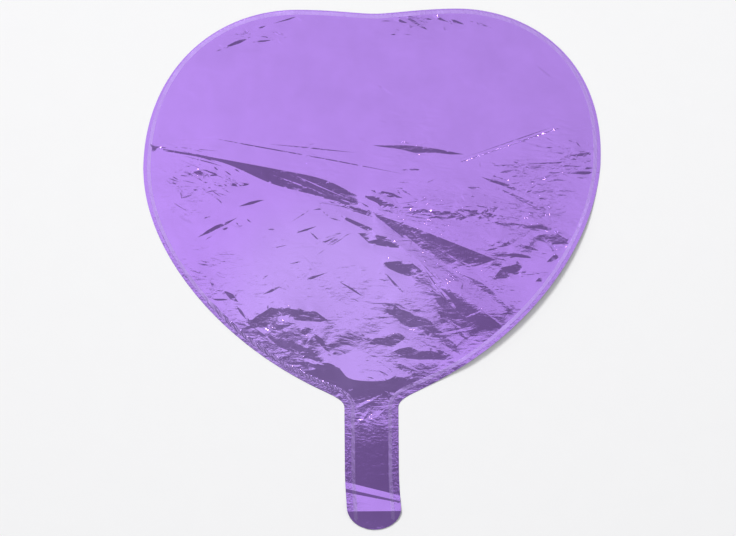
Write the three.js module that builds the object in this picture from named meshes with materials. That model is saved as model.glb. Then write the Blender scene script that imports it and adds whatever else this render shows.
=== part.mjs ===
// Heart-shaped foil balloon, lying flat and unfilled, as it is before its first use.
//
// Millimetres, +Z up. The origin is the centre of the outline's box, on the surface the balloon
// lies on. +Y runs from the filling tail to the notch between the lobes.
//
// Two sheets of metallised film are welded together just inside their cut edge. The tail at the
// point of the heart holds a flat two-film valve, which the gas goes in through. The films of the
// tail end at the neck line, where the tail folds over the front of the heart.

import * as THREE from 'three';

// Outline of the flat heart, right half. The left half mirrors it.
const HALF_WIDTH = 228.5;
const HALF_LENGTH = 260;
const WIDEST_Y = 107;
const LOBE_TOP_X = 80;
const NOTCH_Y = 255.5;
const LOBE_REACH = 76;
const SHOULDER_REACH = 100;
const FLANK_REACH = 70;
const FLANK_PULL = new THREE.Vector2(170, -65);
const POINT_START = new THREE.Vector2(42, -124);

// Tail
const NECK_Y = -137.5;
const NECK_GAP = 0.5;
const TAIL_HALF_WIDTH = 27;
const TAIL_END_HEIGHT = 22;

// Layers, from the surface upwards
const FILM = 0.25;
const WELD_HEIGHT = 1;
const FRONT_Z = FILM + WELD_HEIGHT;
const FRONT_PUFF = 4.5;
const FLAT_RIM = 0.93;

// Welds between the two foil sheets
const SEAL_WIDTH = 4;
const TAIL_SEAL_WIDTH = 2.5;
const SEAL_INSET = { lobe: 3, side: 5.5, tail: 8.5 };
const LOBE_SEAL_Y = 230;
const SEAL_TURN_IN_Y = -95;

// Self-sealing valve
const VALVE_WIDTH = 32;
const VALVE_SEAM = 3;
const VALVE_INNER_LENGTH = 75;
const VALVE_INLET_LENGTH = 92;
const PRINT_LENGTH = 18;
const PRINT_THICKNESS = 0.125;

// Fineness of the curves
const STEPS = { notch: 6, lobe: 16, flank: 20, fillet: 5, tailEnd: 12 };
const DOME_RINGS = 7;

const heartCutY = NECK_Y + NECK_GAP / 2;
const tailCutY = -NECK_GAP / 2;

function foil() {
  return new THREE.MeshStandardMaterial({ color: 0x8f5bd0, metalness: 1, roughness: 0.16 });
}

function weld() {
  return new THREE.MeshStandardMaterial({ color: 0xb79be0, metalness: 0.8, roughness: 0.4 });
}

function clearFilm() {
  return new THREE.MeshStandardMaterial({ color: 0xe6ecef, metalness: 0, roughness: 0.2 });
}

function clearSeam() {
  return new THREE.MeshStandardMaterial({ color: 0xcdd6dc, metalness: 0, roughness: 0.35 });
}

function heatproofInk() {
  return new THREE.MeshStandardMaterial({ color: 0x4f86b8, metalness: 0, roughness: 0.6 });
}

// The heart's edge as an open line, from the right of the neck over both lobes to its left.
function heartEdge() {
  const neck = new THREE.Vector2(TAIL_HALF_WIDTH, heartCutY);
  const widest = new THREE.Vector2(HALF_WIDTH, WIDEST_Y);
  const lobeTop = new THREE.Vector2(LOBE_TOP_X, HALF_LENGTH);
  const slope = (FLANK_PULL.y - POINT_START.y) / (FLANK_PULL.x - POINT_START.x);
  const corner = new THREE.Vector2(
    TAIL_HALF_WIDTH, POINT_START.y - slope * (POINT_START.x - TAIL_HALF_WIDTH));

  const fillet = new THREE.QuadraticBezierCurve(neck, corner, POINT_START);
  const flank = new THREE.CubicBezierCurve(
    POINT_START, FLANK_PULL, new THREE.Vector2(HALF_WIDTH, WIDEST_Y - FLANK_REACH), widest);
  const lobe = new THREE.CubicBezierCurve(
    widest, new THREE.Vector2(HALF_WIDTH, WIDEST_Y + SHOULDER_REACH),
    new THREE.Vector2(LOBE_TOP_X + LOBE_REACH, HALF_LENGTH), lobeTop);
  const notch = new THREE.CubicBezierCurve(
    lobeTop, new THREE.Vector2(LOBE_TOP_X * 0.56, HALF_LENGTH),
    new THREE.Vector2(LOBE_TOP_X * 0.2, NOTCH_Y), new THREE.Vector2(0, NOTCH_Y));

  const right = [
    ...fillet.getPoints(STEPS.fillet),
    ...flank.getPoints(STEPS.flank).slice(1),
    ...lobe.getPoints(STEPS.lobe).slice(1),
    ...notch.getPoints(STEPS.notch).slice(1),
  ];
  const left = right.slice(0, -1).reverse().map((point) => new THREE.Vector2(-point.x, point.y));
  return [...right, ...left];
}

// A line moved towards the inside by inset(y) at each point. The line runs anticlockwise.
function insetLine(line, inset) {
  return line.map((point, i) => {
    const before = line[Math.max(i - 1, 0)];
    const after = line[Math.min(i + 1, line.length - 1)];
    const along = new THREE.Vector2().subVectors(after, before).normalize();
    const atEnd = i === 0 || i === line.length - 1;
    const inward = atEnd
      ? new THREE.Vector2(-Math.sign(point.x), 0)
      : new THREE.Vector2(-along.y, along.x);
    return point.clone().addScaledVector(inward, inset(point.y));
  });
}

// How far a height is on its way from one level, 0, down to a lower one, 1.
function shareDown(y, from, to) {
  return 1 - THREE.MathUtils.smoothstep(y, to, from);
}

// How far the middle of the weld lies inside the edge: it draws in from the lobes to the neck.
function sealInset(y) {
  const belowLobes = shareDown(y, LOBE_SEAL_Y, WIDEST_Y);
  const toNeck = shareDown(y, SEAL_TURN_IN_Y, heartCutY);
  return SEAL_INSET.lobe + (SEAL_INSET.side - SEAL_INSET.lobe) * belowLobes
    + (SEAL_INSET.tail - SEAL_INSET.side) * toNeck;
}

function sealHalfWidth(y) {
  return THREE.MathUtils.lerp(
    SEAL_WIDTH, TAIL_SEAL_WIDTH, shareDown(y, SEAL_TURN_IN_Y, heartCutY)) / 2;
}

function sheet(shape, thickness) {
  return new THREE.ExtrudeGeometry(shape, { depth: thickness, bevelEnabled: false });
}

function strip(width, fromY, toY, thickness) {
  const half = width / 2;
  const shape = new THREE.Shape([
    new THREE.Vector2(-half, fromY),
    new THREE.Vector2(half, fromY),
    new THREE.Vector2(half, toY),
    new THREE.Vector2(-half, toY),
  ]);
  return sheet(shape, thickness);
}

// The front film: flat over the weld, raised in the middle where it stands off the back film.
function domedFilm(edge) {
  const centre = new THREE.Vector2(0, WIDEST_Y / 3);
  const count = edge.length;
  const positions = [];
  const faces = [];

  const rise = (share) => FRONT_PUFF * (1 - THREE.MathUtils.smootherstep(share, 0, FLAT_RIM));
  const shares = [1];
  for (let ring = 0; ring < DOME_RINGS; ring += 1) {
    shares.push(FLAT_RIM * (1 - ring / DOME_RINGS));
  }

  const side = (lift) => {
    const first = positions.length / 3;
    for (const share of shares) {
      for (const point of edge) {
        const spot = centre.clone().lerp(point, share);
        positions.push(spot.x, spot.y, rise(share) + lift);
      }
    }
    positions.push(centre.x, centre.y, FRONT_PUFF + lift);
    return first;
  };

  const cover = (first, faceUp) => {
    const triangle = (a, b, c) => faces.push(...(faceUp ? [a, b, c] : [a, c, b]));
    for (let ring = 0; ring + 1 < shares.length; ring += 1) {
      for (let i = 0; i < count; i += 1) {
        const next = (i + 1) % count;
        const outer = first + ring * count;
        const inner = outer + count;
        triangle(outer + i, outer + next, inner + next);
        triangle(outer + i, inner + next, inner + i);
      }
    }
    const last = first + (shares.length - 1) * count;
    for (let i = 0; i < count; i += 1) {
      triangle(last + i, last + ((i + 1) % count), first + shares.length * count);
    }
  };

  const bottom = side(0);
  const top = side(FILM);
  cover(bottom, false);
  cover(top, true);
  for (let i = 0; i < count; i += 1) {
    const next = (i + 1) % count;
    faces.push(bottom + i, bottom + next, top + next, bottom + i, top + next, top + i);
  }

  const geometry = new THREE.BufferGeometry();
  geometry.setAttribute('position', new THREE.Float32BufferAttribute(positions, 3));
  geometry.setIndex(faces);
  return geometry;
}

// The tail's outline below the neck line, in the tail's own frame: the neck line is y = 0.
function tailShape() {
  const endY = -HALF_LENGTH - NECK_Y;
  const shape = new THREE.Shape();
  shape.moveTo(TAIL_HALF_WIDTH, tailCutY);
  shape.lineTo(-TAIL_HALF_WIDTH, tailCutY);
  shape.lineTo(-TAIL_HALF_WIDTH, endY + TAIL_END_HEIGHT);
  shape.absellipse(0, endY + TAIL_END_HEIGHT, TAIL_HALF_WIDTH, TAIL_END_HEIGHT,
    Math.PI, 2 * Math.PI, false);
  return new THREE.Shape(shape.getPoints(STEPS.tailEnd));
}

function place(parent, name, geometry, material, z, x = 0) {
  const mesh = new THREE.Mesh(geometry, material);
  mesh.name = name;
  mesh.position.set(x, 0, z);
  parent.add(mesh);
}

// The clear valve: two films joined along both sides, with a flat way through between them.
function addValve(parent, prefix, fromY, toY) {
  const seamThickness = WELD_HEIGHT - 2 * FILM;
  const seamX = (VALVE_WIDTH - VALVE_SEAM) / 2;
  const film = () => strip(VALVE_WIDTH, fromY, toY, FILM);
  const seam = () => strip(VALVE_SEAM, fromY, toY, seamThickness);
  place(parent, `${prefix}_back_film`, film(), clearFilm(), FILM);
  place(parent, `${prefix}_front_film`, film(), clearFilm(), FRONT_Z - FILM);
  place(parent, `${prefix}_seam_left`, seam(), clearSeam(), 2 * FILM, -seamX);
  place(parent, `${prefix}_seam_right`, seam(), clearSeam(), 2 * FILM, seamX);
}

function makeHeart() {
  const heart = new THREE.Group();
  const edge = heartEdge();

  const outer = insetLine(edge, (y) => sealInset(y) - sealHalfWidth(y));
  const inner = insetLine(edge, (y) => sealInset(y) + sealHalfWidth(y));
  const band = new THREE.Shape([...outer, ...inner.reverse()]);

  place(heart, 'back_panel', sheet(new THREE.Shape(edge), FILM), foil(), 0);
  place(heart, 'edge_seal', sheet(band, WELD_HEIGHT), weld(), FILM);
  place(heart, 'front_panel', domedFilm(edge), foil(), FRONT_Z);

  addValve(heart, 'valve', heartCutY, heartCutY + VALVE_INNER_LENGTH);
  const printWidth = VALVE_WIDTH - 2 * VALVE_SEAM;
  const print = strip(printWidth, heartCutY, heartCutY + PRINT_LENGTH, PRINT_THICKNESS);
  place(heart, 'valve_release_print', print, heatproofInk(), 2 * FILM);
  return heart;
}

function makeTail() {
  const tail = new THREE.Group();
  tail.position.y = NECK_Y;

  place(tail, 'tail_back_film', sheet(tailShape(), FILM), foil(), 0);
  place(tail, 'tail_front_film', sheet(tailShape(), FILM), foil(), FRONT_Z);

  const sealX = TAIL_HALF_WIDTH - SEAL_INSET.tail;
  const sealEndY = -HALF_LENGTH - NECK_Y + TAIL_END_HEIGHT / 2;
  for (const [name, x] of [['tail_seal_left', -sealX], ['tail_seal_right', sealX]]) {
    place(tail, name, strip(TAIL_SEAL_WIDTH, sealEndY, tailCutY, WELD_HEIGHT), weld(), FILM, x);
  }

  addValve(tail, 'valve_inlet', -VALVE_INLET_LENGTH, tailCutY);
  return tail;
}

const balloon = new THREE.Group();
balloon.name = 'heart_foil_balloon';
balloon.add(makeHeart(), makeTail());

export default balloon;
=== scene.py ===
import math
import random

import bmesh
import bpy
import numpy as np
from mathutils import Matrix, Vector, geometry, kdtree, noise


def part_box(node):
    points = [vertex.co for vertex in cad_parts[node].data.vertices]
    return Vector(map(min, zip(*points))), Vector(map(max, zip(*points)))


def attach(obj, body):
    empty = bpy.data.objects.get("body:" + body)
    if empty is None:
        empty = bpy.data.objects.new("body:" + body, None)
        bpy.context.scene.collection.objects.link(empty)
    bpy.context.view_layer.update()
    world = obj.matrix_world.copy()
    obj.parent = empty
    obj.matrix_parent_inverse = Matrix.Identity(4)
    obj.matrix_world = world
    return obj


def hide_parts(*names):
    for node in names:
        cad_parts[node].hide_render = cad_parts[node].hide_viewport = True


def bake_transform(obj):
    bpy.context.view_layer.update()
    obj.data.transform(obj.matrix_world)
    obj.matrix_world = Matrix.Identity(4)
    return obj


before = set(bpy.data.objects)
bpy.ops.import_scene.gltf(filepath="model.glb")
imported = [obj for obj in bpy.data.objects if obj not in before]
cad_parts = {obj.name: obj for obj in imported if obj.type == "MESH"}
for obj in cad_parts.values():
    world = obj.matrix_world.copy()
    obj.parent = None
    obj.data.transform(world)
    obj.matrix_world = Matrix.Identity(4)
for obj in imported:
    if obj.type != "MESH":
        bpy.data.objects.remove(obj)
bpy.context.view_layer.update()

bl_info = {
    "name": "Heart Foil Balloon",
    "version": (1, 0, 0),
    "blender": (4, 5, 0),
    "location": "View3D > Sidebar > Foil Balloon",
    "description": "A flat, creased heart-shaped foil balloon with its valve and a plain stage",
    "category": "Add Mesh",
}

MM = 0.001
NECK_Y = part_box("back_panel")[0][1] / MM
HALF_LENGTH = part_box("back_panel")[1][1] / MM
HALF_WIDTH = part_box("back_panel")[1][0] / MM
TAIL_HALF_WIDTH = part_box("tail_back_film")[1][0] / MM
TAIL_WELD_X = sum(corner[0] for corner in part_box("tail_seal_right")) / 2 / MM
TAIL_WELD_END_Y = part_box("tail_seal_right")[0][1] / MM
VALVE_HALF_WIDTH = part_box("valve_back_film")[1][0] / MM
VALVE_TOP_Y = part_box("valve_back_film")[1][1] / MM
VALVE_END_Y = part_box("valve_inlet_back_film")[0][1] / MM
PRINT_TOP_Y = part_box("valve_release_print")[1][1] / MM

# All lengths below are in millimetres, and all slopes are rise over run.
NECK_BEND = 10.0  # half the length over which the film bends at the neck
LOBE_LEAN = 7.0  # how far the lobes lie to the right
MOUTH_LEAN = 2.5
ON_LINE = 0.05  # points nearer to a line than this lie on it
VALVE_MARGIN = 2.0  # room beside the valve that the foil keeps clear of
VALVE_SWAY = 0.25
BACK_FOLD_SHARE = 0.2  # height of the back sheet's folds, as a share of the front's
FLANGE_DROOP = 0.06  # how steeply the film drops outside the weld
TILT_RUN_OUT = 3.2  # where a broad tilt ends behind its crest, in widths
SLACK_WAVE = 0.7
SETTLE_PULL = 0.05  # how strongly the film between facets is drawn back to flat
SETTLE_ROUNDS = 900
EASE_ROUNDS = 60
MOST_TO_NOTCH = 0.2  # steepest slopes of the film, by the way it faces
MOST_TO_TAIL = 0.33
MOST_SIDEWAYS = 0.35
SHARP_ANGLE = 7.0  # degrees between two faces from which their edge is a crease
PUCKER_DEPTH = 1.2
RUFFLE_DEPTH = 0.6
BACK_EDGE_STEP = 3.0  # distance between the back sheet's points, on its edge and inside it
BACK_MESH_STEP = 4.0

# Levels of the film stack above the table.
BACK_TOP_Z = 0.12
WELD_Z = (0.15, 0.42)
RIM_Z = 0.58
CUT_EDGE_Z = 0.25
VALVE_BACK_Z = 0.24
VALVE_SEAM_Z = (0.26, 0.34)
VALVE_FRONT_Z = 0.42


# ---------------------------------------------------------------- lines and curves

def smooth_share(value, low, high):
    """Return 0 below low and 1 above high, with a soft turn at both."""
    share = min(max((value - low) / (high - low), 0.0), 1.0)
    return share * share * (3.0 - 2.0 * share)


def mix(low, high, share):
    return low + (high - low) * share


def spread_points(points, step):
    """Return points at equal steps along an open line, with both of its ends."""
    points = np.asarray(points, float)
    lengths = np.linalg.norm(np.diff(points[:, :2], axis=0), axis=1)
    along = np.concatenate([[0.0], np.cumsum(lengths)])
    count = max(int(round(along[-1] / step)), 1)
    stops = np.linspace(0.0, along[-1], count + 1)
    return np.stack([np.interp(stops, along, points[:, axis]) for axis in range(points.shape[1])], axis=1)


def bend_through(points, step):
    """Return a soft curve through a few points, at equal steps."""
    points = np.asarray(points, float)
    if len(points) < 3:
        return spread_points(points, step)
    padded = np.vstack([2 * points[0] - points[1], points, 2 * points[-1] - points[-2]])
    shares = np.linspace(0.0, 1.0, 9)[:-1, None]
    pieces = []
    for index in range(1, len(padded) - 2):
        before, start, end, after = padded[index - 1:index + 3]
        pieces.append(0.5 * (
            2 * start + (end - before) * shares
            + (2 * before - 5 * start + 4 * end - after) * shares ** 2
            + (3 * start - before - 3 * end + after) * shares ** 3))
    pieces.append(points[-1:])
    return spread_points(np.vstack(pieces), step)


def directions(turn):
    """Return the unit directions along and across a line that is turned by some degrees."""
    turn = math.radians(turn)
    along = np.array([math.cos(turn), math.sin(turn)])
    return along, np.array([-along[1], along[0]])


def flat_outline(name):
    """Return the outline of a flat-bottomed solid as points in order, anticlockwise."""
    shell = bmesh.new()
    shell.from_mesh(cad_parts[name].data)
    bmesh.ops.remove_doubles(shell, verts=shell.verts, dist=0.01 * MM)
    under = {face for face in shell.faces if face.normal.z < -0.9}
    rim = {edge for edge in shell.edges if sum(face in under for face in edge.link_faces) == 1}
    start = min(rim, key=lambda edge: edge.index).verts[0]
    ring = [start]
    while rim:
        edge = next(edge for edge in ring[-1].link_edges if edge in rim)
        rim.remove(edge)
        ring.append(edge.other_vert(ring[-1]))
    points = np.array([vert.co.xy for vert in ring[:-1]]) / MM
    shell.free()
    ahead = np.roll(points, -1, axis=0)
    turning = np.sum(points[:, 0] * ahead[:, 1] - ahead[:, 0] * points[:, 1])
    return points if turning > 0 else points[::-1]


def from_corner(points, x_sign, neck_y):
    """Return a ring's points in order, starting at one of its two corners at the neck."""
    at_neck = np.abs(points[:, 1] - neck_y) < ON_LINE
    corner = int(np.argmax(np.where(at_neck, points[:, 0] * x_sign, -np.inf)))
    return np.roll(points, -corner, axis=0)


def balloon_edge(step):
    """Return the cut edge of heart and tail in one ring, anticlockwise from the neck's right."""
    heart = from_corner(flat_outline("back_panel"), 1, NECK_Y)
    tail_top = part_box("tail_back_film")[1][1] / MM
    tail = from_corner(flat_outline("tail_back_film"), -1, tail_top)
    heart = heart[np.abs(heart[:, 1] - NECK_Y) > ON_LINE]
    tail = tail[np.abs(tail[:, 1] - tail_top) > ON_LINE]
    corner = TAIL_HALF_WIDTH
    side_y = np.arange(NECK_Y - 3.0, tail[:, 1].max(), -6.0)
    left_side = np.stack([np.full(len(side_y), -corner), side_y], axis=1)
    right_side = left_side[::-1] * (-1.0, 1.0)
    ring = np.vstack([[[corner, NECK_Y]], heart, [[-corner, NECK_Y]], left_side, tail, right_side,
                      [[corner, NECK_Y]]])
    return bend_through(ring, step)[:-1]


def weld_inset(y):
    """Return how far the weld's middle lies inside the heart's edge, in millimetres."""
    sheet = bpy.context.scene.foil_sheets
    below_lobes = 1.0 - smooth_share(y, 107.0, 230.0)
    to_neck = 1.0 - smooth_share(y, NECK_Y, -95.0)
    inset = mix(sheet.weld_inset_lobes, sheet.weld_inset_sides, below_lobes)
    return inset + (TAIL_HALF_WIDTH - TAIL_WELD_X - sheet.weld_inset_sides) * to_neck


def weld_line(step, aside=0.0):
    """Return the weld's middle from the tail's right end round the heart to its left end.

    The line lies aside millimetres further in.
    """
    edge = balloon_edge(step)
    heart = edge[edge[:, 1] > NECK_Y + 0.5]
    along = np.gradient(heart, axis=0)
    along /= np.linalg.norm(along, axis=1)[:, None]
    inward = np.stack([-along[:, 1], along[:, 0]], axis=1)
    inset = np.array([weld_inset(y) for y in heart[:, 1]])[:, None] + aside
    middle = heart + inward * inset
    tail_x = TAIL_WELD_X - aside
    right = [(tail_x, TAIL_WELD_END_Y), (tail_x, NECK_Y)]
    left = [(-tail_x, NECK_Y), (-tail_x, TAIL_WELD_END_Y)]
    return spread_points(np.vstack([right, middle, left]), step)


class NearLine:
    """Finds the point of a line that lies nearest to a place, and how far off it is."""

    def __init__(self, points):
        self.tree = kdtree.KDTree(len(points))
        for index, point in enumerate(points):
            self.tree.insert((point[0], point[1], 0.0), index)
        self.tree.balance()

    def nearest(self, x, y):
        return self.tree.find((x, y, 0.0))[0]

    def distance(self, x, y):
        return self.tree.find((x, y, 0.0))[2]


# ---------------------------------------------------------------- how the film lies

def edge_lift(x, y):
    """Return how high the lower right edge stands off the table, with both its sheets."""
    sheet = bpy.context.scene.foil_sheets
    outward = 0.75 * x - 0.66 * y
    lift = sheet.edge_lift * smooth_share(outward, 106.0, 152.0) * smooth_share(y, -125.0, -90.0)
    return lift * (1.0 - smooth_share(y, 40.0, 110.0))


def tail_folds(x):
    """Return the folds across the tail's end at one x: each one's y and its height off the table."""
    slanting = [(-219.0 - 0.26 * x, 0.0), (-225.0 - 0.24 * x, 0.9), (-228.0 - 0.2 * x, 0.2)]
    return slanting + [(-241.0, 2.2), (-257.0, 0.0)]


def film_lift(x, y):
    """Return how high the whole stack of films stands off the table at one place."""
    places, heights = zip(*tail_folds(x))
    return edge_lift(x, y) + float(np.interp(-y, [-place for place in places], heights))


def tilt_height(x, y, middle_x, middle_y, length, width, turn, slope):
    """Return how high one broad tipped place lifts the film: it rises evenly, then falls away."""
    turn = math.radians(turn)
    far_x, far_y = x - middle_x, y - middle_y
    along = far_x * math.cos(turn) + far_y * math.sin(turn)
    across = far_y * math.cos(turn) - far_x * math.sin(turn) + width / 2
    run_out = TILT_RUN_OUT * width
    if abs(along) > length / 2 or not 0.0 < across < run_out:
        return 0.0
    ends = 1.0 - smooth_share(abs(along), 0.28 * length, 0.5 * length)
    return slope * min(across, width) * ends * (1.0 - smooth_share(across, width, run_out))


def lean_over(piece):
    """Move a piece to the way the balloon lies: its lobes and its mouth a little to the right."""
    for vert in piece.data.vertices:
        y = vert.co.y / MM
        lean = LOBE_LEAN * smooth_share(y, 10.0, 250.0) + MOUTH_LEAN * smooth_share(-y, 200.0, 260.0)
        vert.co.x += lean * MM


def net_swing(y, folds):
    """Return how far the faint creases move the film: little on the lobes and in the tail."""
    swing = mix(folds.net_swing, 0.12 * folds.net_swing, smooth_share(y, 40.0, 150.0))
    return swing * mix(0.35, 1.0, smooth_share(y, -150.0, -110.0))


# Each main fold is a line over the film: x, y and height above the table, in millimetres.
# A foot is the low side of the fold beside it.
FOLDS = {
    "shoulder": [(-220, 124, 2.0), (-165, 114, 4.5), (-98, 101, 6.5), (-48, 90, 6.5), (-14, 74, 3.0)],
    "shoulder_foot": [(-214, 121, 2.0), (-150, 108, 3.5), (-98, 86, 2.0), (-45, 72, 1.5), (-14, 63, 1.0)],
    "knot": [(-34, 70, 2.5), (0, 57, 2.0)],
    "knot_foot": [(-30, 63, 1.0), (2, 52, 0.8)],
    "knot_low": [(-28, 54, 2.0), (2, 41, 2.2)],
    "knot_low_foot": [(-24, 49, 1.0), (2, 36, 1.0)],
    "band": [(5, 50, 2.2), (52, 6, 5.0), (104, -36, 5.0), (134, -60, 1.5)],
    "band_foot": [(1, 57, 1.3), (36, 31, 1.0), (80, 0, 1.5), (136, -41, 2.2)],
    "wing": [(3, 56, 1.5), (47, 40, 5.0), (92, 22, 6.5), (129, 7, 4.0)],
    "wing_foot": [(82, 2, 2.2), (102, 2, 2.5), (120, 7, 3.5)],
    "low_wing": [(82, -3, 2.0), (112, -15, 4.0), (138, -40, 2.5)],
    "field_side": [(54, -8, 5.0), (72, -54, 1.0)],
    "field_foot": [(91, -78, 1.0), (124, -63, 2.0)],
    "crest": [(-125, -54, 1.5), (-86, -34, 5.0), (-46, -48, 3.5)],
    "apron": [(-56, -94, 3.0), (-34, -97, 3.5), (-20, -109, 4.0), (12, -111, 4.5), (28, -105, 4.0),
              (42, -112, 2.5)],
    "apron_back": [(-35, -86, 2.0), (0, -81, 2.0), (33, -103, 2.0)],
    "neck_chevron": [(-16, -142, 0.8), (12, -129, 1.0)],
    "neck_chevron_right": [(12, -129, 1.0), (16, -134, 0.8)],
    "tail_crest": [(-16, -158, 1.1), (0, -157, 1.5), (16, -160, 1.2)],
}

# Facets are long, narrow places where the film tips. Each is x, y, length, width, turn in degrees.
# These ones face the tail and so look dark.
SHADED_FACETS = [
    # round the knot in the middle
    (15, 64, 46, 11, -25), (16, 75, 34, 4, -14), (62, 54, 64, 11, -2), (98, 55, 46, 13, 12),
    (117, 55, 24, 8, 30), (62, 66, 40, 3, -12),
    # right flank
    (153, 42, 66, 6, -7), (138, 28, 42, 9, 20), (181, 28, 36, 12, -8), (158, 20, 21, 4, -15),
    (148, 12, 27, 5, -8), (136, -4, 30, 19, 25), (158, -5, 22, 3, -4),
    (160, 62, 40, 5, -28), (130, 84, 46, 4, -20), (186, 12, 24, 8, 30), (176, -8, 26, 6, 24),
    # below the band
    (10, 29, 48, 13, -18), (33, 2, 38, 17, -15), (52, 15, 32, 7, -38),
    (36, -47, 44, 17, -20), (58, -58, 34, 18, -35), (16, -71, 38, 15, 10), (50, -85, 56, 18, -6),
    (80, -76, 26, 9, -45), (66, -28, 30, 6, -60), (24, -14, 26, 4, -48), (88, -62, 30, 5, -50),
    (30, -98, 36, 6, -14),
    (-20, -19, 26, 3, -34),
    # lower left
    (-103, -48, 46, 15, 24), (-68, -45, 50, 15, -12), (-62, -84, 34, 12, -30), (-88, -55, 26, 10, 14),
    (-75, -78, 30, 11, -25), (-92, -72, 34, 7, -32), (-50, -72, 26, 6, -50), (-112, -62, 26, 5, -40),
    (-65, -61, 14, 8, 10), (-68, -93, 15, 6, 0), (-47, -97, 30, 9, -10), (-139, -26, 18, 5, -38),
    (-153, 43, 46, 4, 26), (-119, 67, 26, 3, 14), (-165, 97, 26, 8, -8), (-133, 86, 25, 4, 0),
    (-98, -20, 20, 3, 24), (-104, -35, 18, 3, 26), (-129, -42, 16, 3, -55), (-53, -6, 22, 3, 18),
    # long thin creases over the lobes
    (-66, 114, 204, 1.9, -11), (-60, 121, 90, 1.4, -6), (133, 125, 100, 1.6, 19), (54, 152, 36, 1.2, -70),
    (-142, 226, 38, 3, 22), (-112, 229, 22, 2, 6), (-90, 250, 26, 2.4, 16), (18, 250, 30, 4, -16),
    (40, 246, 28, 3, -30), (62, 251, 22, 3, -22), (84, 246, 18, 2.5, -20), (105, 244, 24, 2.5, -18),
    # upper right
    (46, 119, 92, 6, -6), (39, 99, 18, 3, 0), (151, 69, 60, 4, -24), (200, 95, 58, 4, 0),
    (208, 113, 40, 8, 12), (176, 105, 110, 2.4, 2), (174, 101, 112, 4.5, -2),
]
# Where the film is finely crinkled: x, y, reach and strength.
CRINKLED_SPOTS = [
    (165, 62, 100, 1.1), (60, 40, 110, 0.9), (-185, 82, 70, 0.7), (-60, -20, 150, 0.5), (50, -70, 110, 1.0),
    (-90, -70, 80, 0.9), (0, -146, 44, 1.1), (0, -200, 60, 0.2), (-165, 0, 80, 0.5), (40, 118, 70, 0.7),
    (190, 120, 70, 0.6), (40, 246, 60, 0.4), (-130, 228, 50, 0.4), (-60, 90, 70, 0.6), (110, -10, 90, 0.9),
]
# Fans of thin creases: x, y of their root, lowest and highest turn, and their number.
CREASE_FANS = [
    (-224, 128, -24, 2, 10), (226, 104, 165, 200, 14), (5, 52, 150, 215, 8), (6, 56, -50, 8, 18),
    (40, 22, -64, -30, 16), (2, 58, -16, 10, 8), (-8, 62, 154, 174, 9),
]
# Broad places where the whole film tips towards the tail: x, y, length, width, turn and slope.
BROAD_TILTS = [
    (94, -48, 92, 22, -36, 0.13), (38, -50, 70, 14, -36, 0.1), (144, 16, 50, 11, 15, 0.13),
    (84, 54, 110, 9, -5, 0.14), (-78, -72, 60, 20, -28, 0.09), (176, 38, 60, 8, -8, 0.13),
    (84, 25, 96, 18, -22, 0.06),
]
# Facets that face the notch and so look bright.
BRIGHT_FACETS = [
    (62, -3, 30, 1.8, -40), (97, 4, 13, 3, -24), (75, -29, 40, 5, -50), (-98, -55, 30, 7, 62),
    (75, -81, 20, 8, -40), (-24, 68, 20, 1.4, -18), (-60, -66, 26, 4, 58), (-40, -84, 22, 4, -30),
    (-30, -124, 26, 4, 22), (26, -126, 26, 4, -20), (-12, -149, 24, 5, 42), (6, -143, 26, 7, 30),
    (-18, -164, 22, 4, -58), (14, -152, 16, 5, -70), (-4, -132, 30, 4, 26), (16, -168, 20, 3, -66),
]
# Creases so steep that they catch the small lamp.
STEEP_CREASES = [(137, 123, 100, 1.0, 19), (-214, 124, 14, 1.0, -8), (19, 43, 34, 0.9, -38)]
# Where short creases lie close together: x, y, reach and their number.
CREASE_CLUSTERS = [
    (-168, 90, 36, 36), (160, 84, 46, 32), (44, 247, 34, 16), (-118, 238, 26, 10), (-86, -72, 34, 24),
    (70, 62, 44, 18), (110, 58, 34, 16), (-30, 60, 26, 12), (20, -100, 36, 16), (196, 118, 26, 12),
]


# ---------------------------------------------------------------- the creased sheet

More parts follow.
